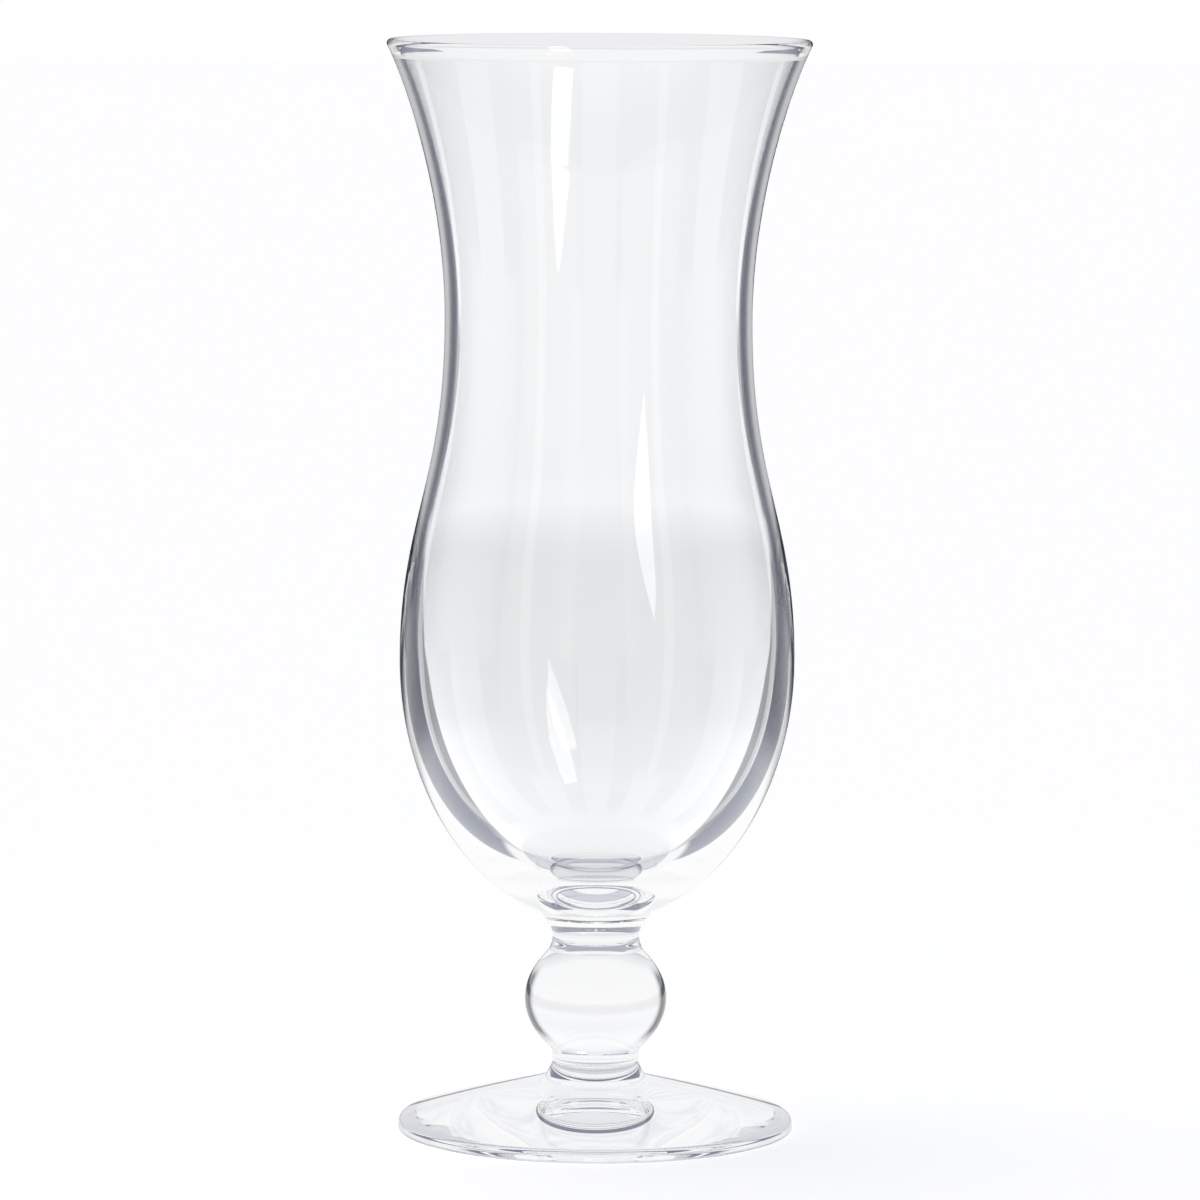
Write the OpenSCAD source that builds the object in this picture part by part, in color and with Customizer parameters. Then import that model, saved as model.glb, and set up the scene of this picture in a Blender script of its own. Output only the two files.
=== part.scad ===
// Hurricane glass: a tall clear bowl with a flared rim, a narrow waist and a full belly,
// on a short stem of two waisted collars with a ball between them, over a wide sloping foot.
// Each piece is a turned form, drawn as half an outline and carried once round the upright axis.
// The foot stands at height 0, and each piece rests on the flat seam of the one below it.

/* [Foot] */
// Diameter of the foot
foot_d = 74.8; // [60:0.2:90]
// Height of the foot where the stem joins it
foot_h = 10.3; // [8:0.1:13]
// Height of the upright part of the foot's edge
foot_side_h = 1; // [0.6:0.1:1.6]
// Height at which the rounded edge runs into the slope of the top
foot_edge_h = 2.6; // [2:0.1:4]
// How far the rounded edge reaches in from the side
foot_edge_reach = 1.2; // [0.8:0.1:2]
// Radius of the fire-polished corner under the edge
foot_corner_r = 0.4; // [0.2:0.05:0.6]
// Slope of the foot's top next to its edge, in degrees
foot_slope = 16.7; // [8:0.1:20]
// Width of the flat ring that the glass stands on
rest_ring_w = 3.6; // [2:0.1:10]
// Rise of the shallow hollow inside the resting ring
hollow_h = 1.2; // [0.2:0.1:2]

/* [Stem] */
// Diameter of the seam between the foot and the lower collar
foot_seam_d = 18.8; // [17:0.1:22]
// Height of the lower collar
lower_collar_h = 5.2; // [4:0.1:8]
// Diameter of the lower collar at its neck
lower_neck_d = 16.2; // [13:0.1:17]
// Height of the lower collar's neck above the foot seam
lower_neck_h = 3.1; // [2:0.1:3.6]
// Diameter of the seam under the ball
ball_foot_seam_d = 17.2; // [17:0.1:20]
// Height of the ball between its two seams
ball_h = 18.8; // [16:0.1:24]
// Diameter of the ball
ball_d = 26.8; // [22:0.1:34]
// Height of the ball's widest place above the seam under it
ball_middle_h = 9.5; // [7:0.1:11]
// Diameter of the seam over the ball
ball_bowl_seam_d = 17.6; // [17:0.1:20]
// Height of the upper collar
upper_collar_h = 7.6; // [5:0.1:11]
// Diameter of the upper collar at its neck
upper_neck_d = 16.4; // [13:0.1:17]
// Height of the upper collar's neck above the ball seam
upper_neck_h = 2.6; // [1.6:0.1:4]

/* [Bowl] */
// Diameter of the seam between the upper collar and the bowl
bowl_seam_d = 22; // [19:0.1:26]
// Height of the bowl from that seam to the rim
bowl_h = 164.1; // [140:0.1:190]
// Diameter of the rim over its lip
rim_d = 79.6; // [70:0.2:94]
// Flare of the wall at the rim, in degrees from upright
rim_flare = 27.5; // [15:0.5:40]
// Diameter of the waist
waist_d = 57.7; // [48:0.1:66]
// Height of the waist above the bowl's seam
waist_h = 111.9; // [95:0.1:125]
// Diameter of the belly
belly_d = 74.4; // [66:0.2:90]
// Height of the belly's widest place above the bowl's seam
belly_h = 47.5; // [38:0.1:60]
// Thickness of the wall at the lip
lip_wall = 1.6; // [1:0.1:2.4]
// Thickness of the wall at the waist
waist_wall = 2; // [1.2:0.1:3]
// Thickness of the wall at the belly
belly_wall = 2.9; // [1.6:0.1:4]
// Height of the widest place inside the belly above the bowl's seam
cavity_belly_h = 53; // [44:0.1:64]
// Thickness of the solid glass under the drink, on the axis
base_t = 5.8; // [4:0.1:14]

/* [Smoothness] */
// Steps in each curved stretch of an outline
curve_steps = 20; // [8:1:40]
// Steps in each small round
round_steps = 6; // [4:1:16]
// Sides of the round forms in a preview
turn_sides = 96; // [24:8:200]

/* [Hidden] */

// Clear glass with the faint cool tint that it shows where it is thick
glass_colour = [0.86, 0.9, 0.94, 0.45];

// Radii, from the diameters above
foot_r = foot_d / 2;
foot_seam_r = foot_seam_d / 2;
lower_neck_r = lower_neck_d / 2;
ball_foot_seam_r = ball_foot_seam_d / 2;
ball_r = ball_d / 2;
ball_bowl_seam_r = ball_bowl_seam_d / 2;
upper_neck_r = upper_neck_d / 2;
bowl_seam_r = bowl_seam_d / 2;
belly_r = belly_d / 2;
waist_r = waist_d / 2;
lip_r = lip_wall / 2;

// Heights of the seams above the table
lower_collar_z = foot_h;
ball_z = lower_collar_z + lower_collar_h;
upper_collar_z = ball_z + ball_h;
bowl_z = upper_collar_z + upper_collar_h;

// Directions in which outlines leave their seams, in degrees from straight out
foot_seam_slope = 42.5;
collar_foot_lean = 120;
collar_ball_lean = 115;
ball_foot_lean = 45;
ball_bowl_lean = 55;
bowl_seam_lean = 45;

// Reach of each curve's handles, as shares of the stretch that the curve spans
foot_edge_side_share = 0.42;
foot_edge_top_share = 0.84;
foot_slope_share = 0.67;
foot_seam_share = 0.06;
hollow_share = 0.5;
lower_collar_share = 0.3;
ball_seam_share = 0.2;
ball_middle_share = 0.52;
upper_collar_share = 0.35;
flange_neck_share = 0.4;
flange_edge_share = 0.2;
belly_share = 0.42;
waist_under_share = 0.494;
waist_over_share = 0.455;
rim_share = 0.124;
cavity_side_share = 0.64;
cavity_floor_share = 0.55;

// A point at a given reach and angle from another
function towards(point, angle, reach) = point + reach * [cos(angle), sin(angle)];

// A cubic curve with two handles, without its first point
function curve(start, start_handle, end_handle, end) = [
    for (i = [1 : curve_steps])
        let (t = i / curve_steps, u = 1 - t)
            u * u * u * start + 3 * u * u * t * start_handle + 3 * u * t * t * end_handle + t * t * t * end
];

// A round between two angles
function arc(centre, radius, first_angle, last_angle) = [
    for (i = [0 : round_steps])
        towards(centre, first_angle + (last_angle - first_angle) * i / round_steps, radius)
];

// A collar's outline from its lower seam up: in to the neck, which is upright, and out again
function collar_outline(low, low_lean, low_reach, neck, neck_under, neck_over, top, top_lean, top_reach) = concat(
    [[0, low.y], low],
    curve(low, towards(low, low_lean, low_reach), neck - [0, neck_under], neck),
    curve(neck, neck + [0, neck_over], towards(top, top_lean, top_reach), top),
    [[0, top.y]]
);

// Turns a half outline once round the axis, at its height
module turned(outline, height) {
    translate([0, 0, height]) rotate_extrude($fn = turn_sides) polygon(outline);
}

// Foot: a wide sloping disc with a fire-polished edge, hollow beneath inside a flat resting ring
function foot_outline() =
    let (
        ring_inner = [foot_r - foot_corner_r - rest_ring_w, 0],
        side_top = [foot_r, foot_side_h],
        edge_top = [foot_r - foot_edge_reach, foot_edge_h],
        seam = [foot_seam_r, foot_h],
        edge_rise = foot_edge_h - foot_side_h,
        top_run = foot_r - foot_edge_reach - foot_seam_r
    )
    concat(
        [[0, hollow_h]],
        curve([0, hollow_h], [ring_inner.x * hollow_share, hollow_h], ring_inner, ring_inner),
        arc([foot_r - foot_corner_r, foot_corner_r], foot_corner_r, -90, 0),
        [side_top],
        curve(
            side_top,
            side_top + [0, edge_rise * foot_edge_side_share],
            towards(edge_top, -foot_slope, foot_edge_reach * foot_edge_top_share),
            edge_top
        ),
        curve(
            edge_top,
            towards(edge_top, 180 - foot_slope, top_run * foot_slope_share),
            towards(seam, -foot_seam_slope, top_run * foot_seam_share),
            seam
        ),
        [[0, foot_h]]
    );

module foot() color(glass_colour) turned(foot_outline(), 0);

// Lower collar: the waisted ring of glass between the foot and the ball
module lower_collar() {
    neck_rise = lower_neck_h * lower_collar_share;
    neck_fall = (lower_collar_h - lower_neck_h) * lower_collar_share;
    color(glass_colour)
        turned(
            collar_outline(
                [foot_seam_r, 0], collar_foot_lean, neck_rise,
                [lower_neck_r, lower_neck_h], neck_rise, neck_fall,
                [ball_foot_seam_r, lower_collar_h], -collar_ball_lean, neck_fall
            ),
            lower_collar_z
        );
}

// Ball knop: a solid, slightly flattened ball of glass, cut flat at its two seams
function ball_outline() =
    let (
        low = [ball_foot_seam_r, 0],
        middle = [ball_r, ball_middle_h],
        top = [ball_bowl_seam_r, ball_h],
        upper_h = ball_h - ball_middle_h
    )
    concat(
        [[0, 0], low],
        curve(
            low,
            towards(low, ball_foot_lean, ball_middle_h * ball_seam_share),
            middle - [0, ball_middle_h * ball_middle_share],
            middle
        ),
        curve(
            middle,
            middle + [0, upper_h * ball_middle_share],
            towards(top, -ball_bowl_lean, upper_h * ball_seam_share),
            top
        ),
        [[0, ball_h]]
    );

module ball_knop() color(glass_colour) turned(ball_outline(), ball_z);

// Upper collar: narrow over the ball, opening to a sharp-edged flange under the bowl
module upper_collar() {
    neck_rise = upper_neck_h * upper_collar_share;
    flange_h = upper_collar_h - upper_neck_h;
    color(glass_colour)
        turned(
            collar_outline(
                [ball_bowl_seam_r, 0], collar_ball_lean, neck_rise,
                [upper_neck_r, upper_neck_h], neck_rise, flange_h * flange_neck_share,
                [bowl_seam_r, upper_collar_h], bowl_seam_lean - 180, flange_h * flange_edge_share
            ),
            upper_collar_z
        );
}

// Bowl: the underside is part of an ellipse as tall as brings it to the seam's edge
function bowl_outline() =
    let (
        under_h = belly_h / sqrt(1 - pow(bowl_seam_r / belly_r, 2)),
        seam_angle = asin(belly_h / under_h),
        belly = [belly_r, belly_h],
        waist = [waist_r, waist_h],
        belly_inside = [belly_r - belly_wall, cavity_belly_h],
        waist_inside = waist - [waist_wall, 0],
        floor_inside = [0, base_t],
        lip = [rim_d / 2 - lip_r, bowl_h - lip_r],
        lip_outside = towards(lip, -rim_flare, lip_r),
        lip_inside = towards(lip, 180 - rim_flare, lip_r),
        side_h = waist_h - belly_h,
        side_inside_h = waist_h - cavity_belly_h,
        flare_h = bowl_h - waist_h,
        down_the_wall = -90 - rim_flare
    )
    concat(
        [[0, 0]],
        [
            for (i = [0 : curve_steps])
                let (angle = -seam_angle * (1 - i / curve_steps))
                    [belly_r * cos(angle), belly_h + under_h * sin(angle)]
        ],
        curve(belly, belly + [0, side_h * belly_share], waist - [0, side_h * waist_under_share], waist),
        curve(
            waist,
            waist + [0, flare_h * waist_over_share],
            towards(lip_outside, down_the_wall, flare_h * rim_share),
            lip_outside
        ),
        arc(lip, lip_r, -rim_flare, 180 - rim_flare),
        curve(
            lip_inside,
            towards(lip_inside, down_the_wall, flare_h * rim_share),
            waist_inside + [0, flare_h * waist_over_share],
            waist_inside
        ),
        curve(
            waist_inside,
            waist_inside - [0, side_inside_h * waist_under_share],
            belly_inside + [0, side_inside_h * belly_share],
            belly_inside
        ),
        curve(
            belly_inside,
            belly_inside - [0, (cavity_belly_h - base_t) * cavity_side_share],
            floor_inside + [belly_inside.x * cavity_floor_share, 0],
            floor_inside
        )
    );

module bowl() color(glass_colour) turned(bowl_outline(), bowl_z);

bowl();
upper_collar();
ball_knop();
lower_collar();
foot();
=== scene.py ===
import math
import bpy
import numpy as np
from mathutils import Matrix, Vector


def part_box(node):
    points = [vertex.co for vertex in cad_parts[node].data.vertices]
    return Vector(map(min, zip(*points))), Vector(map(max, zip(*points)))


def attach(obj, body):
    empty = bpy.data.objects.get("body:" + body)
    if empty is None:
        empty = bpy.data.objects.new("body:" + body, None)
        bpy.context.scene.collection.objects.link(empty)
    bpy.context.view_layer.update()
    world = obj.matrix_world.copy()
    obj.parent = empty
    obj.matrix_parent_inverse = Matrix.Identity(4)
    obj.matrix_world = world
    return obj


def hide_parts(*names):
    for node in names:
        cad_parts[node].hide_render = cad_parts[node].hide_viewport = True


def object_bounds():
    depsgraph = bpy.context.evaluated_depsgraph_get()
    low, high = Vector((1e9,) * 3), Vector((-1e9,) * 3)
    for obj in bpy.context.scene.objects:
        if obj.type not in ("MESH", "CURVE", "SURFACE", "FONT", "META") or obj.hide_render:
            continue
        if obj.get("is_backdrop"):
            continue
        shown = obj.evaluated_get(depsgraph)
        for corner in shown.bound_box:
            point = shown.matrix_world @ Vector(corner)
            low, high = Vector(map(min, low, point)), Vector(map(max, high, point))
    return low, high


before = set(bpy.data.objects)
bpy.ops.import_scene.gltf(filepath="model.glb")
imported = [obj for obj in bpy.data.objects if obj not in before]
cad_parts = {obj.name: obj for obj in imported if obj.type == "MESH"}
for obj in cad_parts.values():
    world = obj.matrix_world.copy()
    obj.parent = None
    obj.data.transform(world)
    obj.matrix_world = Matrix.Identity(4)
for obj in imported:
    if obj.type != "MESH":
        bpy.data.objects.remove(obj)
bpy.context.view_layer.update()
scene = bpy.context.scene
scene.view_settings.view_transform = "Standard"
scene.cycles.max_bounces = 40
scene.cycles.glossy_bounces = 40
scene.cycles.transmission_bounces = 40
scene.cycles.transparent_max_bounces = 40

# Camera: a long lens a little above the middle of the glass, looking slightly down on it.
# It stands 1.32 m from the axis, so the rim and the foot show as thin ellipses.
lens = bpy.data.cameras.new("camera")
lens.lens = 211.0
lens.sensor_width = 36
camera = bpy.data.objects.new("camera", lens)
scene.collection.objects.link(camera)
scene.camera = camera
camera_place = (0.0005, -1.3166, 0.2465)
dip = 6.32
roll = 0.258
looking_down = Matrix.Rotation(math.radians(90 - dip), 4, "X")
rolled = Matrix.Rotation(math.radians(roll), 4, "Z")
camera.matrix_world = Matrix.Translation(camera_place) @ looking_down @ rolled


# Studio: a white room with a pale floor. Light that was mirrored inside the glass finds the room dark
# but for upright white windows straight ahead, which draws the dark bands along its outlines.
# One tall softbox at the front right gives the long highlights, and broad ones the faint strips.
def lit(name, colour, strength):
    """A material for a studio card: one plain colour given off at one strength."""
    material = bpy.data.materials.new(name)
    material.use_nodes = True
    nodes = material.node_tree.nodes
    nodes.clear()
    glow = nodes.new("ShaderNodeEmission")
    glow.inputs["Color"].default_value = (*colour, 1)
    glow.inputs["Strength"].default_value = strength
    output = nodes.new("ShaderNodeOutputMaterial")
    material.node_tree.links.new(glow.outputs["Emission"], output.inputs["Surface"])
    return material


def sum_of(nodes, links, operation, *values):
    """Adds one math node over sockets or plain numbers."""
    node = nodes.new("ShaderNodeMath")
    node.operation = operation
    for socket, value in zip(node.inputs, values):
        if isinstance(value, (int, float)):
            socket.default_value = value
        else:
            links.new(value, socket)
    return node.outputs["Value"]


def chosen(nodes, links, factor, no, yes):
    """Adds a mix of two colours, each a socket or three numbers, by a factor."""
    mix = nodes.new("ShaderNodeMix")
    mix.data_type = "RGBA"
    links.new(factor, mix.inputs["Factor"])
    for socket, value in ((mix.inputs["A"], no), (mix.inputs["B"], yes)):
        if isinstance(value, tuple):
            socket.default_value = (*value, 1)
        else:
            links.new(value, socket)
    return mix.outputs["Result"]


def grey_steps(nodes, stops):
    """A ramp through colours: each stop is a place from 0 to 1 and a colour."""
    ramp = nodes.new("ShaderNodeValToRGB")
    elements = ramp.color_ramp.elements
    elements[0].position, elements[0].color = stops[0][0], (*stops[0][1], 1)
    elements[1].position, elements[1].color = stops[-1][0], (*stops[-1][1], 1)
    for place, colour in stops[1:-1]:
        elements.new(place).color = (*colour, 1)
    return ramp


def soft_step(nodes, links, value, start, end, low, high):
    """Adds a smooth step of a value, from low at start to high at end."""
    step = nodes.new("ShaderNodeMapRange")
    step.interpolation_type = "SMOOTHSTEP"
    step.inputs["From Min"].default_value = start
    step.inputs["From Max"].default_value = end
    step.inputs["To Min"].default_value = low
    step.inputs["To Max"].default_value = high
    links.new(value, step.inputs["Value"])
    return step.outputs["Result"]


def kinds_of_light(nodes, links):
    """Adds nodes that tell how the light came, each giving 1 for yes and 0 for no. seen: straight to
    the eye, or through glass that mirrored nothing. folded: mirrored inside one wall or solid form.
    hollow: unmirrored, through the walls of a hollow form. solid: unmirrored, through a solid form.
    skimming: folded light that was mirrored 3 to 31 times along a face. outer: light that entered no
    glass. through is light that last passed a face, and depth how often it was mirrored."""
    path = nodes.new("ShaderNodeLightPath")
    through = path.outputs["Is Transmission Ray"]
    depth = path.outputs["Glossy Depth"]
    faces = path.outputs["Transmission Depth"]
    unmirrored = sum_of(nodes, links, "LESS_THAN", depth, 0.5)
    one_wall = sum_of(nodes, links, "LESS_THAN", faces, 2.5)
    straight = sum_of(nodes, links, "MULTIPLY", through, unmirrored)
    mirrored = sum_of(nodes, links, "SUBTRACT", 1, unmirrored)
    more_walls = sum_of(nodes, links, "SUBTRACT", 1, one_wall)
    inside = sum_of(nodes, links, "MULTIPLY", one_wall, mirrored)
    folded = sum_of(nodes, links, "MULTIPLY", through, inside)
    often = sum_of(nodes, links, "GREATER_THAN", depth, 2.5)
    not_endless = sum_of(nodes, links, "LESS_THAN", depth, 31.5)
    some_times = sum_of(nodes, links, "MULTIPLY", often, not_endless)
    return {
        "through": through,
        "depth": depth,
        "seen": sum_of(nodes, links, "MAXIMUM", path.outputs["Is Camera Ray"], straight),
        "folded": folded,
        "hollow": sum_of(nodes, links, "MULTIPLY", straight, more_walls),
        "solid": sum_of(nodes, links, "MULTIPLY", straight, one_wall),
        "skimming": sum_of(nodes, links, "MULTIPLY", folded, some_times),
        "outer": sum_of(nodes, links, "LESS_THAN", faces, 0.5),
    }


def softbox(name, away, corners, strength):
    """A softbox facing the glass. Each corner is a direction, in degrees round from the front and up.
    It shows only once mirrored, on an outer face of the glass or on the far wall's inner face."""
    turn, up = np.radians(np.array(corners, float)).T
    middle_z = 0.13
    points = np.stack([np.sin(turn), -np.cos(turn), np.tan(up)], 1) * away + np.array((0, 0, middle_z))
    mesh = bpy.data.meshes.new(name)
    mesh.from_pydata(points.tolist(), [], [list(range(len(points)))])
    material = lit(name, (1, 1, 1), strength)
    nodes = material.node_tree.nodes
    links = material.node_tree.links
    path = nodes.new("ShaderNodeLightPath")
    once = sum_of(nodes, links, "LESS_THAN", path.outputs["Glossy Depth"], 1.5)
    outer = sum_of(nodes, links, "LESS_THAN", path.outputs["Transmission Depth"], 0.5)
    far_wall = sum_of(nodes, links, "GREATER_THAN", path.outputs["Transmission Depth"], 3.5)
    mirrored = sum_of(nodes, links, "GREATER_THAN", path.outputs["Glossy Depth"], 0.5)
    either = sum_of(nodes, links, "ADD", outer, far_wall)
    gone = nodes.new("ShaderNodeBsdfTransparent")
    mix = nodes.new("ShaderNodeMixShader")
    shows = sum_of(nodes, links, "MULTIPLY", sum_of(nodes, links, "MULTIPLY", once, mirrored), either)
    links.new(shows, mix.inputs["Fac"])
    links.new(gone.outputs["BSDF"], mix.inputs[1])
    links.new(nodes["Emission"].outputs["Emission"], mix.inputs[2])
    links.new(mix.outputs["Shader"], nodes["Material Output"].inputs["Surface"])
    mesh.materials.append(material)
    made = bpy.data.objects.new(name, mesh)
    scene.collection.objects.link(made)
    made.visible_camera = False
    made.visible_diffuse = False
    made.visible_shadow = False
    made.visible_volume_scatter = False
    made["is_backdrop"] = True


def aside(nodes, links, place):
    """Adds nodes that give how far a level direction lies from the nearest eighth of a turn, in degrees,
    and how far from the nearest quarter."""
    split = nodes.new("ShaderNodeSeparateXYZ")
    links.new(place, split.inputs["Vector"])
    turn = sum_of(nodes, links, "ARCTAN2", split.outputs["X"], split.outputs["Y"])
    degrees = sum_of(nodes, links, "MULTIPLY", turn, 180 / math.pi)
    quarter = sum_of(nodes, links, "PINGPONG", degrees, 45)
    eighth = sum_of(nodes, links, "PINGPONG", degrees, 22.5)
    return eighth, quarter


def windows(nodes, links, eighth, quarter, low_down, level):
    """Adds nodes that give 1 in the windows: wide at the quarters of a turn and narrow at the eighths,
    but as wide there too for light that comes from low down. Near the level their edges are soft."""
    crisp = soft_step(nodes, links, quarter, *crisp_edge, 1, 0)
    soft = soft_step(nodes, links, quarter, *soft_edge, soft_share, 0)
    soft = sum_of(nodes, links, "MULTIPLY", soft, level)
    wide = sum_of(nodes, links, "MAXIMUM", crisp, soft)
    narrow = soft_step(nodes, links, quarter, *narrow_edge, 0, 1)
    every = soft_step(nodes, links, eighth, *eighth_edge, 1, 0)
    every = sum_of(nodes, links, "MULTIPLY", every, low_down)
    return sum_of(nodes, links, "MAXIMUM", sum_of(nodes, links, "MAXIMUM", wide, narrow), every)


def beyond(nodes, links, quarter, fall):
    """Adds nodes that give the light found through two walls: even straight on, brighter to the sides,
    and low past the window's edge. fall is how steeply the light comes from below, from 0 to 1."""
    share = sum_of(nodes, links, "MULTIPLY", quarter, 1 / window_half)
    square = sum_of(nodes, links, "MULTIPLY", share, share)
    rising = sum_of(nodes, links, "MULTIPLY_ADD", square, side_gain, 1)
    at_quarter = soft_step(nodes, links, quarter, *bright_edge, 1, 0)
    gentle = soft_step(nodes, links, quarter, *gentle_edge, 1, 0)
    for falls, before, after in gentle_falls:
        within = soft_step(nodes, links, fall, *falls, before, after)
        gentle = sum_of(nodes, links, "MULTIPLY", gentle, within)
    at_quarter = sum_of(nodes, links, "MAXIMUM", at_quarter, gentle)
    at_eighth = soft_step(nodes, links, quarter, *far_edge, 0, 1)
    wide = sum_of(nodes, links, "MAXIMUM", sum_of(nodes, links, "MULTIPLY", rising, at_quarter), at_eighth)
    low = sum_of(nodes, links, "MAXIMUM", wide, past_edge)
    level = grey_steps(nodes, [(place, (value, value, value)) for place, value in levels])
    links.new(fall, level.inputs["Fac"])
    raised = sum_of(nodes, links, "MULTIPLY", level.outputs["Color"], level_gain)
    return sum_of(nodes, links, "MULTIPLY", low, raised)


# The windows for mirrored light. Each edge is a soft step between two angles, in degrees from the
# nearest quarter of a turn or, for eighth_edge, from the nearest eighth.
crisp_edge = (11.5, 13)
soft_edge = (15, 31)
soft_share = 0.75
narrow_edge = (41, 42.5)
eighth_edge = (12.5, 14)

# Light through two walls: the half width of its window and its edges in degrees, the falls between
# which one edge is gentle, its gain to that edge, its share past it, and its level, in parts of the
# level gain, by how steeply it comes from below
window_half = 16
bright_edge = (15.5, 17)
gentle_edge = (17, 23)
gentle_falls = [((0.05, 0.08), 0, 1), ((0.13, 0.16), 1, 0)]
far_edge = (30, 31.5)
side_gain = 0.5
past_edge = 0.5
level_gain = 1.2
levels = [(0, 0.83), (0.05, 0.83), (0.075, 0.83), (0.105, 0.85), (0.15, 0.71), (0.19, 0.735),
          (0.25, 0.795), (0.31, 0.82), (0.42, 0.83), (1, 0.85)]

# What mirrored light finds: the windows, the dark between them, the dark low down, the grey for light
# mirrored twice, the dim room for outer faces, and the grey for light that wandered through the glass
white = (1, 1, 1)
dark = (0.035, 0.048, 0.085)
low_dark = (0.20, 0.225, 0.29)
twice_grey = (0.42, 0.43, 0.5)
dim = (0.05, 0.055, 0.07)
lost = (0.36, 0.375, 0.43)

# What light through a solid form finds near the level
horizon_grey = (0.86, 0.86, 0.87)

# The heights between which low down, steeply down, the level and the horizon's grey fade in or out.
# A height is that of a direction's end, 1 long, above the level.
low_heights = (-0.42, -0.27)
steep_heights = (-0.78, -0.68)
level_heights = (-0.24, -0.17)
horizon_heights = (0.01, 0.35)

# The softboxes' corners. The tall one narrows to a point low down, and the two broad ones leave a
# dark gap at the camera.
pointed = [(33.5, 3.5), (35.5, 12), (36, 22), (34, 31), (31, 41), (18, 41), (20, 31), (23, 22), (28.5, 12)]
left = [(-12, -28), (-12, 45), (-58, 45), (-58, -28)]
right = [(16.5, -28), (60, -28), (60, 45), (16.5, 45)]
softbox("softbox_tall", 1.6, pointed, 4.5)
softbox("softbox_left", 2.6, left, 0.55)
softbox("softbox_right", 2.6, right, 0.55)

# A broad lamp high over the glass lights the floor, so that the glass keeps its soft shadow
lamp = bpy.data.lights.new("lamp", "SUN")
lamp.angle = math.radians(50)
lamp.energy = 1.2
lamp_object = bpy.data.objects.new("lamp", lamp)
lamp_object.rotation_euler = (math.radians(-12), math.radians(-14), 0)
lamp_object.visible_camera = False
lamp_object.visible_glossy = False
lamp_object.visible_transmission = False
scene.collection.objects.link(lamp_object)

# The room is white to the eye, and brighter to the sides for light through two walls. Light folded
# inside one wall finds white windows in a dark room, a little less dark low down. Other mirrored
# light finds it dim, and light through a solid form finds it a little grey near the level.
world = bpy.data.worlds.new("white_room")
scene.world = world
world.use_nodes = True
nodes = world.node_tree.nodes
links = world.node_tree.links
nodes.clear()
direction = nodes.new("ShaderNodeTexCoord")
eighth, quarter = aside(nodes, links, direction.outputs["Generated"])
kinds = kinds_of_light(nodes, links)
upright = nodes.new("ShaderNodeSeparateXYZ")
links.new(direction.outputs["Generated"], upright.inputs["Vector"])
height = upright.outputs["Z"]
low_down = soft_step(nodes, links, height, *low_heights, 1, 0)
steep = soft_step(nodes, links, height, *steep_heights, 1, 0)
level = soft_step(nodes, links, height, *level_heights, 0, 1)
opening = windows(nodes, links, eighth, quarter, steep, level)
colour = chosen(nodes, links, low_down, dark, low_dark)
colour = chosen(nodes, links, opening, colour, white)
colour = chosen(nodes, links, kinds["skimming"], colour, white)
twice = sum_of(nodes, links, "COMPARE", kinds["depth"], 2, 0.4)
twice = sum_of(nodes, links, "MULTIPLY", twice, kinds["folded"])
colour = chosen(nodes, links, twice, colour, twice_grey)
elsewhere = chosen(nodes, links, kinds["through"], dim, lost)
colour = chosen(nodes, links, kinds["folded"], elsewhere, colour)
colour = chosen(nodes, links, kinds["seen"], colour, white)
off_level = sum_of(nodes, links, "ABSOLUTE", height)
near_level = soft_step(nodes, links, off_level, *horizon_heights, 1, 0)
near_level = sum_of(nodes, links, "MULTIPLY", near_level, kinds["solid"])
colour = chosen(nodes, links, near_level, colour, horizon_grey)
room = nodes.new("ShaderNodeBackground")
links.new(colour, room.inputs["Color"])
gain = beyond(nodes, links, quarter, sum_of(nodes, links, "MULTIPLY", height, -1))
more = sum_of(nodes, links, "SUBTRACT", gain, 1)
more = sum_of(nodes, links, "MULTIPLY", more, kinds["hollow"])
links.new(sum_of(nodes, links, "ADD", more, 1), room.inputs["Strength"])
output = nodes.new("ShaderNodeOutputWorld")
links.new(room.outputs["Background"], output.inputs["Surface"])

# The floor: matt and pale, lifted to white where the eye looks. Mirrored light, and light through two
# walls, finds it white close to the glass and passes it farther off, to the room beyond. Light through
# a solid form finds a painted shadow: grey under the foot, darkest in a ring under the foot's edge, and it
# greys a little towards the horizon.
# The white ends between the distances of glass_edge for light out of the glass, and of table_edge for
# light that entered no glass. Distances are in metres from the axis.
floor_reach = 6.0
glass_edge = (0.048, 0.056)
table_edge = (0.2, 0.32)
floor_colour = (0.86, 0.86, 0.87)
floor_lift = 0.63
table_strength = 0.95
under_grey = (0.62, 0.64, 0.70)
under_dark = (0.20, 0.21, 0.28)
# Painted shadow on the floor for light through a solid form: grey under the foot, darker in a ring under
# its edge
shadow_under_foot = [(0, (0.9, 0.9, 0.9)), (0.034, (0.9, 0.9, 0.9)), (0.037, (0.35, 0.37, 0.42)),
              (0.042, (0.75, 0.76, 0.79)), (0.055, (0.95, 0.95, 0.95)), (0.25, (0.97, 0.97, 0.97)),
              (0.6, (0.88, 0.88, 0.89)), (1, horizon_grey)]
corners = [(-floor_reach, -floor_reach, 0), (floor_reach, -floor_reach, 0),
           (floor_reach, floor_reach, 0), (-floor_reach, floor_reach, 0)]
floor_mesh = bpy.data.meshes.new("floor")
floor_mesh.from_pydata(corners, [], [(0, 1, 2, 3)])
floor = bpy.data.objects.new("floor", floor_mesh)
scene.collection.objects.link(floor)
pale = bpy.data.materials.new("studio_floor")
pale.use_nodes = True
nodes = pale.node_tree.nodes
links = pale.node_tree.links
nodes.clear()
matt = nodes.new("ShaderNodeBsdfDiffuse")
matt.inputs["Color"].default_value = (*floor_colour, 1)
lifted = nodes.new("ShaderNodeEmission")
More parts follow.
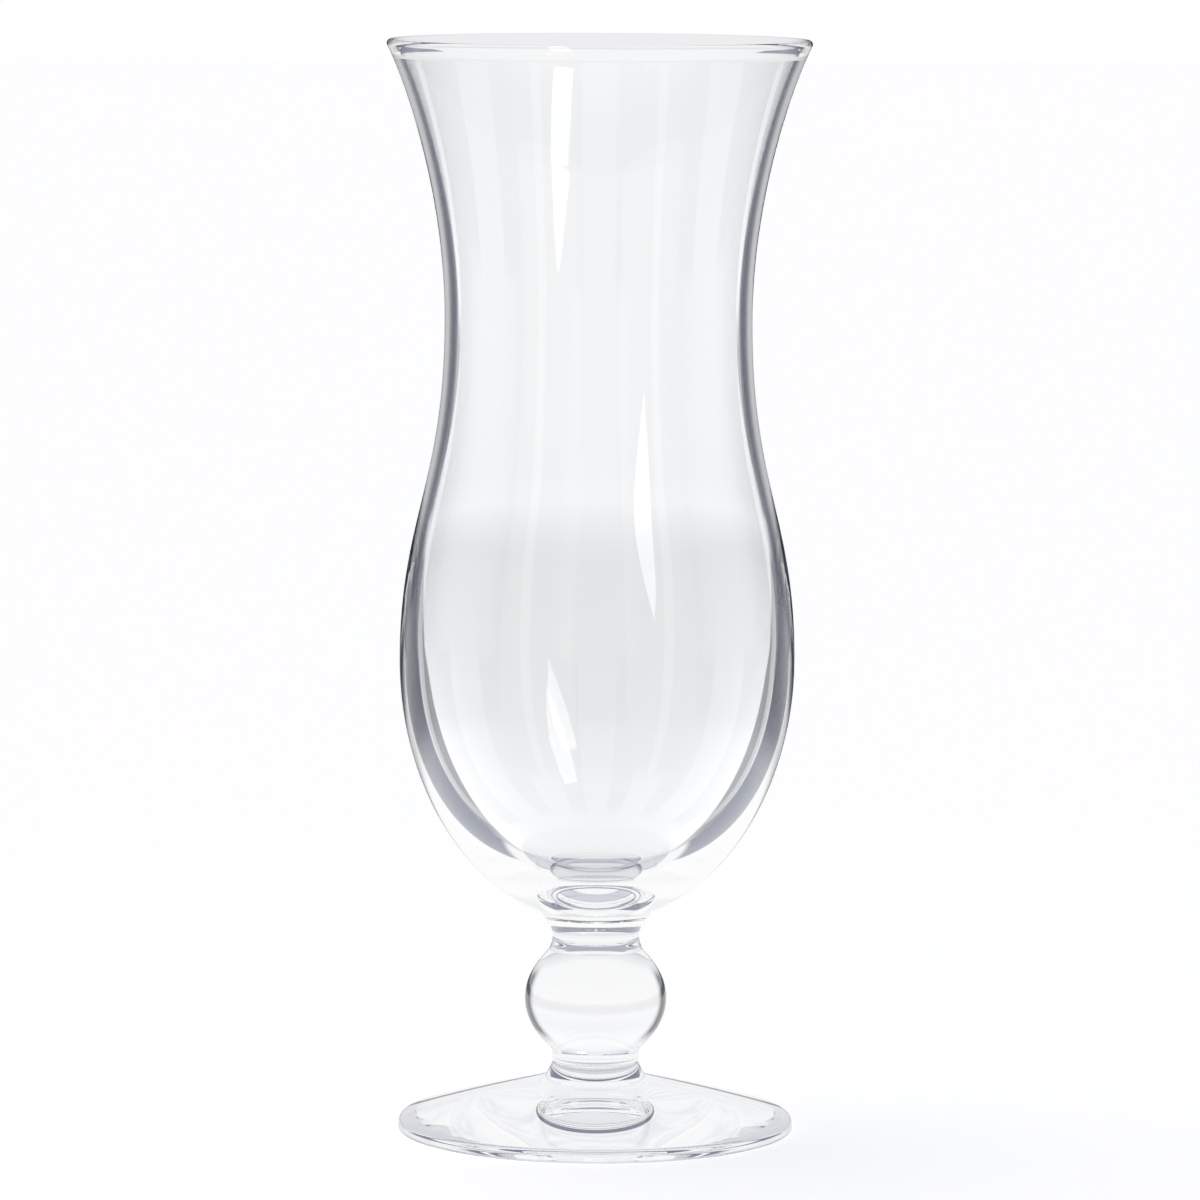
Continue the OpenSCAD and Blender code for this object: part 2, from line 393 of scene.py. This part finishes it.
lifted.inputs["Strength"].default_value = floor_lift
both = nodes.new("ShaderNodeAddShader")
links.new(matt.outputs["BSDF"], both.inputs[0])
links.new(lifted.outputs["Emission"], both.inputs[1])
place = nodes.new("ShaderNodeTexCoord")
distance = nodes.new("ShaderNodeVectorMath")
distance.operation = "LENGTH"
links.new(place.outputs["Object"], distance.inputs[0])
kinds = kinds_of_light(nodes, links)
past_glass = soft_step(nodes, links, distance.outputs["Value"], *glass_edge, 0, 1)
past_table = soft_step(nodes, links, distance.outputs["Value"], *table_edge, 0, 1)
not_outer = sum_of(nodes, links, "SUBTRACT", 1, kinds["outer"])
far_off = sum_of(nodes, links, "MULTIPLY", past_glass, not_outer)
far_off = sum_of(nodes, links, "MULTIPLY_ADD", past_table, kinds["outer"], far_off)
twice = sum_of(nodes, links, "GREATER_THAN", kinds["depth"], 1.5)
unfolded = chosen(nodes, links, twice, under_grey, under_dark)
bright = sum_of(nodes, links, "MAXIMUM", kinds["folded"], kinds["hollow"])
bright = sum_of(nodes, links, "MAXIMUM", bright, kinds["outer"])
table = nodes.new("ShaderNodeEmission")
table.inputs["Strength"].default_value = table_strength
links.new(chosen(nodes, links, bright, unfolded, white), table.inputs["Color"])
passed = nodes.new("ShaderNodeBsdfTransparent")
close_by = nodes.new("ShaderNodeMixShader")
links.new(far_off, close_by.inputs["Fac"])
links.new(table.outputs["Emission"], close_by.inputs[1])
links.new(passed.outputs["BSDF"], close_by.inputs[2])
to_the_eye = nodes.new("ShaderNodeMixShader")
links.new(sum_of(nodes, links, "SUBTRACT", kinds["seen"], kinds["hollow"]), to_the_eye.inputs["Fac"])
links.new(close_by.outputs["Shader"], to_the_eye.inputs[1])
links.new(both.outputs["Shader"], to_the_eye.inputs[2])
shade = grey_steps(nodes, shadow_under_foot)
links.new(distance.outputs["Value"], shade.inputs["Fac"])
in_solid = nodes.new("ShaderNodeEmission")
links.new(shade.outputs["Color"], in_solid.inputs["Color"])
by_form = nodes.new("ShaderNodeMixShader")
links.new(kinds["solid"], by_form.inputs["Fac"])
links.new(to_the_eye.outputs["Shader"], by_form.inputs[1])
links.new(in_solid.outputs["Emission"], by_form.inputs[2])
output = nodes.new("ShaderNodeOutputMaterial")
links.new(by_form.outputs["Shader"], output.inputs["Surface"])
floor_mesh.materials.append(pale)
floor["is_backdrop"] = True

# A white lid lies level over the foot and the stem, with a hole for the stem. Only mirrored and bent
# light that comes from below finds it, so that the foot shines as over a white table. It carries painted
# shade, grey over the foot and in grey cloud patches, that the foot shows.
lid_z = 0.0405
lid_inner = 0.0115
lid_outer = 1.2
lid_sides = 96
# Painted shade on the lid, as the foot shows it: grey over the foot, and grey cloud patches for light
# through no solid form
cloud_shade_grey = (0.6, 0.62, 0.69)
shade_over_foot = [(0, (0.8, 0.81, 0.85)), (0.045, (0.8, 0.81, 0.85)), (0.06, (1, 1, 1)),
             (0.1, (0.92, 0.93, 0.95)), (0.25, (0.97, 0.97, 0.98)), (0.6, (0.88, 0.88, 0.89)),
             (1, horizon_grey)]
turn = np.arange(lid_sides) * 2 * math.pi / lid_sides
circle = np.stack([np.cos(turn), np.sin(turn)], 1)
rings = np.concatenate([circle * lid_inner, circle * lid_outer])
points = np.column_stack([rings, np.full(len(rings), lid_z)])
here = np.arange(lid_sides)
after = (here + 1) % lid_sides
quads = np.stack([here, here + lid_sides, after + lid_sides, after], 1)
lid_mesh = bpy.data.meshes.new("lid")
lid_mesh.from_pydata(points.tolist(), [], quads.tolist())
lid_white = lit("studio_lid", white, 1)
nodes = lid_white.node_tree.nodes
links = lid_white.node_tree.links
place = nodes.new("ShaderNodeTexCoord")
distance = nodes.new("ShaderNodeVectorMath")
distance.operation = "LENGTH"
links.new(place.outputs["Object"], distance.inputs[0])
shade = grey_steps(nodes, shade_over_foot)
links.new(distance.outputs["Value"], shade.inputs["Fac"])
cloud = nodes.new("ShaderNodeTexNoise")
cloud.inputs["Scale"].default_value = 30
cloud.inputs["Detail"].default_value = 3
links.new(place.outputs["Object"], cloud.inputs["Vector"])
not_solid = sum_of(nodes, links, "SUBTRACT", 1, kinds_of_light(nodes, links)["solid"])
patchy = soft_step(nodes, links, cloud.outputs["Fac"], 0.4, 0.6, 0, 0.3)
patchy = sum_of(nodes, links, "MULTIPLY", patchy, not_solid)
colour = chosen(nodes, links, patchy, shade.outputs["Color"], cloud_shade_grey)
links.new(colour, nodes["Emission"].inputs["Color"])
side = nodes.new("ShaderNodeNewGeometry")
gone = nodes.new("ShaderNodeBsdfTransparent")
mix = nodes.new("ShaderNodeMixShader")
links.new(side.outputs["Backfacing"], mix.inputs["Fac"])
links.new(gone.outputs["BSDF"], mix.inputs[1])
links.new(nodes["Emission"].outputs["Emission"], mix.inputs[2])
links.new(mix.outputs["Shader"], nodes["Material Output"].inputs["Surface"])
lid_mesh.materials.append(lid_white)
lid = bpy.data.objects.new("lid", lid_mesh)
lid.visible_camera = False
lid.visible_shadow = False
lid.visible_diffuse = False
scene.collection.objects.link(lid)
lid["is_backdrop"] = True


# Foot: a wide sloping disc of pressed clear glass that the glass stands on.
# Its edge is fire polished to a soft round, and its underside is slightly hollow inside a flat ring.
def bend(start, start_handle, end_handle, end, steps):
    """A cubic curve from start to end, drawn towards its two handles, without its first point."""
    t = np.linspace(0, 1, steps + 1)[1:, None]
    u = 1 - t
    start, start_handle, end_handle, end = np.array((start, start_handle, end_handle, end), float)
    return u ** 3 * start + 3 * u * u * t * start_handle + 3 * u * t * t * end_handle + t ** 3 * end


def towards(point, angle, reach):
    """The point that lies at an angle, in degrees from straight out, and a reach from another."""
    turn = math.radians(angle)
    return np.array((point[0] + reach * math.cos(turn), point[1] + reach * math.sin(turn)))


def rounding(centre, radius, first, last, steps):
    """Points on a round, from the first angle to the last, in degrees from straight out."""
    turn = np.radians(np.linspace(first, last, steps + 1))
    return np.stack([centre[0] + radius * np.cos(turn), centre[1] + radius * np.sin(turn)], 1)


def turned(name, outline, sides, materials, flat):
    """A closed turned surface: the half outline, in mm from the axis and above the floor, is carried
    once round the axis. Point (i, j) is r_i cos a_j, r_i sin a_j, z_i with a_j = j of sides of a turn.
    The outline runs anticlockwise from one point on the axis to the other, which are the poles.
    flat holds the heights of its level seams, whose faces take the second material."""
    outline = np.asarray(outline) / 1000
    low, ring, high = outline[0], outline[1:-1], outline[-1]
    turn = np.arange(sides) * 2 * math.pi / sides
    x = ring[:, :1] * np.cos(turn)
    y = ring[:, :1] * np.sin(turn)
    z = np.repeat(ring[:, 1:], sides, 1)
    points = np.concatenate([np.stack([x, y, z], 2).reshape(-1, 3), [[0, 0, low[1]], [0, 0, high[1]]]])
    here = np.arange(sides)
    after = (here + 1) % sides
    rows = np.arange(len(ring) - 1)[:, None] * sides
    quads = np.stack([rows + here, rows + after, rows + sides + after, rows + sides + here], 2)
    quads = quads.reshape(-1, 4)
    last = (len(ring) - 1) * sides
    first_fan = np.stack([np.full(sides, len(points) - 2), after, here], 1)
    last_fan = np.stack([last + here, last + after, np.full(sides, len(points) - 1)], 1)
    corners = np.concatenate([quads.ravel(), first_fan.ravel(), last_fan.ravel()])
    starts = np.concatenate([np.arange(len(quads)) * 4, len(quads) * 4 + np.arange(2 * sides) * 3])
    mesh = bpy.data.meshes.new(name)
    mesh.vertices.add(len(points))
    mesh.vertices.foreach_set("co", points.ravel())
    mesh.loops.add(len(corners))
    mesh.loops.foreach_set("vertex_index", corners.astype(np.int32))
    mesh.polygons.add(len(starts))
    mesh.polygons.foreach_set("loop_start", starts.astype(np.int32))
    mesh.update(calc_edges=True)
    for material in materials:
        mesh.materials.append(material)
    heights = np.zeros(len(starts) * 3)
    mesh.polygons.foreach_get("center", heights)
    heights = heights.reshape(-1, 3)[:, 2]
    level_seam = np.zeros(len(starts), bool)
    slopes = np.zeros(len(starts) * 3)
    mesh.polygons.foreach_get("normal", slopes)
    slopes = np.abs(slopes.reshape(-1, 3)[:, 2])
    for height in flat:
        level_seam |= (np.abs(heights - height / 1000) < 1e-6) & (slopes > 0.999)
    mesh.polygons.foreach_set("material_index", level_seam.astype(np.int32))
    mesh.polygons.foreach_set("use_smooth", ~level_seam)
    mesh.validate()
    made = bpy.data.objects.new(name, mesh)
    scene.collection.objects.link(made)
    return made


def seam_height(node, end):
    """The height, in mm, of a node's lower end (0) or upper end (1)."""
    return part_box(node)[end].z * 1000


def clear_glass(name, refraction=1.5, belt=None):
    """Fire-polished clear glass. Broad slow ripples, left by the mould and the fire, bend what shows
    through it, and the colour cools very slightly in patches. Lamps shine through it to the floor.
    belt, for a solid round form, holds the height in mm and half the width of the belt in which its
    outline is painted dark: painted shade where light would come from far to the sides."""
    material = bpy.data.materials.new(name)
    material.use_nodes = True
    nodes = material.node_tree.nodes
    links = material.node_tree.links
    nodes.clear()
    place = nodes.new("ShaderNodeTexCoord")
    streaks = nodes.new("ShaderNodeMapping")
    streaks.inputs["Scale"].default_value = (1, 1, 0.35)
    links.new(place.outputs["Object"], streaks.inputs["Vector"])
    ripple = nodes.new("ShaderNodeTexNoise")
    ripple.inputs["Scale"].default_value = 38
    ripple.inputs["Detail"].default_value = 1
    links.new(streaks.outputs["Vector"], ripple.inputs["Vector"])
    bump = nodes.new("ShaderNodeBump")
    bump.inputs["Strength"].default_value = 0.05
    bump.inputs["Distance"].default_value = 0.0004
    links.new(ripple.outputs["Fac"], bump.inputs["Height"])
    patches = nodes.new("ShaderNodeTexNoise")
    patches.inputs["Scale"].default_value = 14
    links.new(place.outputs["Object"], patches.inputs["Vector"])
    cool = (0.985, 0.99, 0.995)
    clearest = (0.995, 0.997, 1)
    colour = chosen(nodes, links, patches.outputs["Fac"], cool, clearest)
    if belt:
        # Painted shade: within the belt, the outline is coloured dark where the face turns edge on
        painted_outline_shade = (0.02, 0.022, 0.026)
        middle_z, half_width = belt[0] / 1000, belt[1] / 1000
        height = nodes.new("ShaderNodeSeparateXYZ")
        links.new(place.outputs["Object"], height.inputs["Vector"])
        off_belt = sum_of(nodes, links, "SUBTRACT", height.outputs["Z"], middle_z)
        off_belt = sum_of(nodes, links, "ABSOLUTE", off_belt)
        in_belt = soft_step(nodes, links, off_belt, half_width * 0.6, half_width, 1, 0)
        facing = nodes.new("ShaderNodeLayerWeight")
        facing.inputs["Blend"].default_value = 0.5
        outline = soft_step(nodes, links, facing.outputs["Facing"], 0.5, 0.66, 0, 1)
        outline_shade_mask = sum_of(nodes, links, "MULTIPLY", in_belt, outline)
        colour = chosen(nodes, links, outline_shade_mask, colour, painted_outline_shade)
    glass = nodes.new("ShaderNodeBsdfPrincipled")
    glass.inputs["Roughness"].default_value = 0
    glass.inputs["IOR"].default_value = refraction
    glass.inputs["Transmission Weight"].default_value = 1
    links.new(colour, glass.inputs["Base Color"])
    links.new(bump.outputs["Normal"], glass.inputs["Normal"])
    lets_light_by = nodes.new("ShaderNodeBsdfTransparent")
    lets_light_by.inputs["Color"].default_value = (0.87, 0.88, 0.9, 1)
    path = nodes.new("ShaderNodeLightPath")
    mix = nodes.new("ShaderNodeMixShader")
    links.new(path.outputs["Is Shadow Ray"], mix.inputs["Fac"])
    links.new(glass.outputs["BSDF"], mix.inputs[1])
    links.new(lets_light_by.outputs["BSDF"], mix.inputs[2])
    output = nodes.new("ShaderNodeOutputMaterial")
    links.new(mix.outputs["Shader"], output.inputs["Surface"])
    return material


def fused_face():
    """The face inside a seam, where one gather of glass melted into the next: nothing shows there."""
    material = bpy.data.materials.new("fused_face")
    material.use_nodes = True
    nodes = material.node_tree.nodes
    nodes.clear()
    through = nodes.new("ShaderNodeBsdfTransparent")
    output = nodes.new("ShaderNodeOutputMaterial")
    material.node_tree.links.new(through.outputs["BSDF"], output.inputs["Surface"])
    return material


clear = clear_glass("clear_glass")
fused = fused_face()

foot_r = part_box("foot")[1].x * 1000
foot_h = seam_height("foot", 1)
foot_seam_r = 9.4
foot_seam_slope = 42.5
foot_side_h = 1.0
foot_edge_h = 2.6
foot_edge_reach = 1.2
foot_corner_r = 0.4
foot_slope = 16.7
rest_ring_w = 3.6
hollow_h = 1.2
hollow_share = 0.5
foot_edge_side_share = 0.42
foot_edge_top_share = 0.84
foot_slope_share = 0.67
foot_seam_share = 0.06
hollow_top = (0, hollow_h)
ring_inner = (foot_r - foot_corner_r - rest_ring_w, 0)
corner = (foot_r - foot_corner_r, foot_corner_r)
side_top = (foot_r, foot_side_h)
edge_top = (foot_r - foot_edge_reach, foot_edge_h)
seam = (foot_seam_r, foot_h)
top_run = edge_top[0] - foot_seam_r
side_handle = (foot_r, foot_side_h + (foot_edge_h - foot_side_h) * foot_edge_side_share)
edge_handle = towards(edge_top, -foot_slope, foot_edge_reach * foot_edge_top_share)
slope_handle = towards(edge_top, 180 - foot_slope, top_run * foot_slope_share)
seam_handle = towards(seam, -foot_seam_slope, top_run * foot_seam_share)
foot_outline = np.concatenate([
    [hollow_top],
    bend(hollow_top, (ring_inner[0] * hollow_share, hollow_h), ring_inner, ring_inner, 48),
    np.linspace(ring_inner, (corner[0], 0), 6)[1:-1],
    rounding(corner, foot_corner_r, -90, 0, 10),
    [side_top],
    bend(side_top, side_handle, edge_handle, edge_top, 14),
    bend(edge_top, slope_handle, seam_handle, seam, 70),
    np.linspace(seam, (0, foot_h), 6)[1:],
])
foot = turned("foot_disc", foot_outline, 288, (clear, fused), (foot_h,))
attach(foot, "root")
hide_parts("foot")


# Lower collar: a short waisted ring of solid clear glass between the foot and the ball.
# It is drawn in while hot, and shows as close dark rings where it meets the forms beside it.
def collar_outline(low, low_handle, neck, under, over, top_handle, top, steps):
    """Half the outline of a waisted collar: out along its lower seam, in to the neck, out to the upper
    seam and back. Both curves leave the neck upright, with handles under and over it."""
    return np.concatenate([
        np.linspace((0, low[1]), low, 6),
        bend(low, low_handle, (neck[0], neck[1] - under), neck, 24),
        bend(neck, (neck[0], neck[1] + over), top_handle, top, steps),
        np.linspace(top, (0, top[1]), 6)[1:],
    ])


ball_z = seam_height("ball_knop", 0)
lower_neck_r = 8.1
lower_neck_h = 3.1
ball_foot_seam_r = 8.6
lower_collar_share = 0.3
collar_foot_lean = 120
collar_ball_lean = 115
low = (foot_seam_r, foot_h)
neck = (lower_neck_r, foot_h + lower_neck_h)
top = (ball_foot_seam_r, ball_z)
under = lower_neck_h * lower_collar_share
over = (ball_z - neck[1]) * lower_collar_share
lower_collar_outline = collar_outline(low, towards(low, collar_foot_lean, under), neck, under, over,
                                      towards(top, -collar_ball_lean, over), top, 24)
lower_collar = turned("lower_ring", lower_collar_outline, 192, (clear, fused), (foot_h, ball_z))
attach(lower_collar, "root")
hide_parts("lower_collar")

# Ball knop: a solid ball of clear glass, a little flattened, that the hand finds under the bowl.
# It is pressed with the stem, and works as a strong lens that turns the room upside down.
ball_top = seam_height("ball_knop", 1)
ball_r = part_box("ball_knop")[1].x * 1000
ball_middle_h = 9.5
ball_bowl_seam_r = 8.8
ball_foot_lean = 45
ball_bowl_lean = 55
ball_seam_share = 0.2
ball_middle_share = 0.52
# The belt round the ball's middle in which its outline gets painted shade
painted_shade_belt = (ball_z + ball_middle_h - 0.5, 8.0)
low = (ball_foot_seam_r, ball_z)
middle = (ball_r, ball_z + ball_middle_h)
top = (ball_bowl_seam_r, ball_top)
upper_h = ball_top - middle[1]
low_handle = towards(low, ball_foot_lean, ball_middle_h * ball_seam_share)
top_handle = towards(top, -ball_bowl_lean, upper_h * ball_seam_share)
middle_under = (ball_r, middle[1] - ball_middle_h * ball_middle_share)
middle_over = (ball_r, middle[1] + upper_h * ball_middle_share)
ball_outline = np.concatenate([
    np.linspace((0, ball_z), low, 6),
    bend(low, low_handle, middle_under, middle, 48),
    bend(middle, middle_over, top_handle, top, 48),
    np.linspace(top, (0, ball_top), 6)[1:],
])
ball_glass = clear_glass("ball_glass", belt=painted_shade_belt)
ball = turned("stem_ball", ball_outline, 256, (ball_glass, fused), (ball_z, ball_top))
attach(ball, "root")
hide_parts("ball_knop")

# Upper collar: solid clear glass, narrow over the ball and opening to a sharp flange under the bowl.
# The flange is where the bowl was set on the stem, and its edge catches a dark line.
bowl_z = seam_height("bowl", 0)
upper_neck_r = 8.2
upper_neck_h = 2.6
bowl_seam_r = 11.0
upper_collar_share = 0.35
flange_neck_share = 0.4
flange_edge_share = 0.2
flange_lean = 135
low = (ball_bowl_seam_r, ball_top)
neck = (upper_neck_r, ball_top + upper_neck_h)
top = (bowl_seam_r, bowl_z)
under = upper_neck_h * upper_collar_share
flange_h = bowl_z - neck[1]
over = flange_h * flange_neck_share
flange_handle = towards(top, -flange_lean, flange_h * flange_edge_share)
upper_collar_outline = collar_outline(low, towards(low, collar_ball_lean, under), neck, under, over,
                                      flange_handle, top, 36)
upper_collar = turned("upper_ring", upper_collar_outline, 192, (clear, fused), (ball_top, bowl_z))
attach(upper_collar, "root")
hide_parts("upper_collar")

# Bowl: the tall vessel, of clear glass blown in a mould, with a full belly, a narrow waist and a
# flared rim. The wall thickens downwards to a solid base, and the lip is melted to a smooth round.
rim_z = seam_height("bowl", 1)
rim_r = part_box("bowl")[1].x * 1000
bowl_h = rim_z - bowl_z
belly_r, belly_h = 37.2, 47.5
waist_r, waist_h = 28.85, 111.9
rim_flare = 27.5
lip_r = 0.8
waist_wall = 2.0
belly_wall = 2.9
cavity_belly_h = 53.0
base_t = 5.8
belly_share = 0.42
waist_under_share = 0.494
waist_over_share = 0.455
rim_share = 0.124
cavity_side_share = 0.64
cavity_floor_share = 0.55
side_h = waist_h - belly_h
flare_h = bowl_h - waist_h
rim_reach = flare_h * rim_share

# The outside: an ellipse from the seam to the belly, then up to the waist and out to the lip
under_h = belly_h / math.sqrt(1 - (bowl_seam_r / belly_r) ** 2)
seam_angle = math.degrees(math.asin(belly_h / under_h))
angles = np.radians(np.linspace(-seam_angle, 0, 91))
underside = np.stack([belly_r * np.cos(angles), belly_h + under_h * np.sin(angles)], 1)
belly = underside[-1]
belly_over = (belly_r, belly_h + side_h * belly_share)
waist = (waist_r, waist_h)
waist_under = (waist_r, waist_h - side_h * waist_under_share)
waist_over = (waist_r, waist_h + flare_h * waist_over_share)
lip = (rim_r - lip_r, bowl_h - lip_r)
lip_outside = towards(lip, -rim_flare, lip_r)
under_lip = towards(lip_outside, -90 - rim_flare, rim_reach)

# The cavity: down from the lip to its own waist and belly, and in to the solid base
lip_inside = towards(lip, 180 - rim_flare, lip_r)
inside_lip = towards(lip_inside, -90 - rim_flare, rim_reach)
cavity_r = belly_r - belly_wall
cavity_waist_r = waist_r - waist_wall
cavity_side_h = waist_h - cavity_belly_h
cavity_waist = (cavity_waist_r, waist_h)
cavity_waist_over = (cavity_waist_r, waist_h + flare_h * waist_over_share)
cavity_waist_under = (cavity_waist_r, waist_h - cavity_side_h * waist_under_share)
cavity_belly = (cavity_r, cavity_belly_h)
cavity_belly_over = (cavity_r, cavity_belly_h + cavity_side_h * belly_share)
cavity_belly_under = (cavity_r, cavity_belly_h - (cavity_belly_h - base_t) * cavity_side_share)
cavity_floor = (cavity_r * cavity_floor_share, base_t)
bowl_outline = np.concatenate([
    np.linspace((0, 0), underside[0], 6)[:-1],
    underside,
    bend(belly, belly_over, waist_under, waist, 60),
    bend(waist, waist_over, under_lip, lip_outside, 54),
    rounding(lip, lip_r, -rim_flare, 180 - rim_flare, 16)[1:],
    bend(lip_inside, inside_lip, cavity_waist_over, cavity_waist, 54),
    bend(cavity_waist, cavity_waist_under, cavity_belly_over, cavity_belly, 60),
    bend(cavity_belly, cavity_belly_under, cavity_floor, (0, base_t), 70),
])
bowl_outline[:, 1] += bowl_z

# Light that enters the lip's top would be trapped in the wall and draw the lip black. The lip's own
# glass bends it less, down to where it first meets the inner face, so that it leaves there.
lip_reach = 2.9
lip_glass = clear_glass("lip_glass", refraction=1.12)
bowl = turned("bowl_vessel", bowl_outline, 240, (clear, fused, lip_glass), (bowl_z,))
centres = np.zeros(len(bowl.data.polygons) * 3)
bowl.data.polygons.foreach_get("center", centres)
slots = np.zeros(len(bowl.data.polygons), np.int32)
bowl.data.polygons.foreach_get("material_index", slots)
lip_slot = 2
slots[centres.reshape(-1, 3)[:, 2] * 1000 > rim_z - lip_reach] = lip_slot
bowl.data.polygons.foreach_set("material_index", slots)
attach(bowl, "root")
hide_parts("bowl")

# The box round the shown objects, without the studio
low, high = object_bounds()
